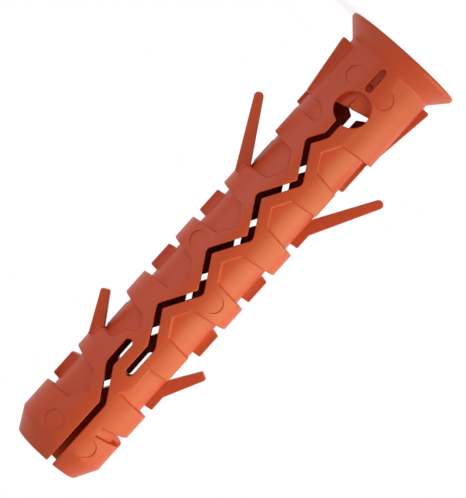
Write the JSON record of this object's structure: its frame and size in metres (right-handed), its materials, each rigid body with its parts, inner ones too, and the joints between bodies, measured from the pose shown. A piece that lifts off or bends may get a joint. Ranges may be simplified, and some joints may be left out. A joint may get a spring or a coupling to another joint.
{
  "type": "scaffold anchor plug",
  "caption": "Slit expansion sleeve with a flared collar, a zigzag slit in each face, toothed flanks and barbed anti-rotation wings.",
  "frame": {"origin": "centre of the collar's outer face, where the screw goes in", "axes": "+Z along the plug from the collar to the tip, -Y towards the face with the round window, X across the wings in the mould's parting plane"},
  "size_m": [0.024, 0.0184, 0.075],
  "materials": {
    "nylon": "satin moulded brick-red nylon"
  },
  "bodies": {
    "root": {"plug": "nylon"}
  },
  "joints": []
}
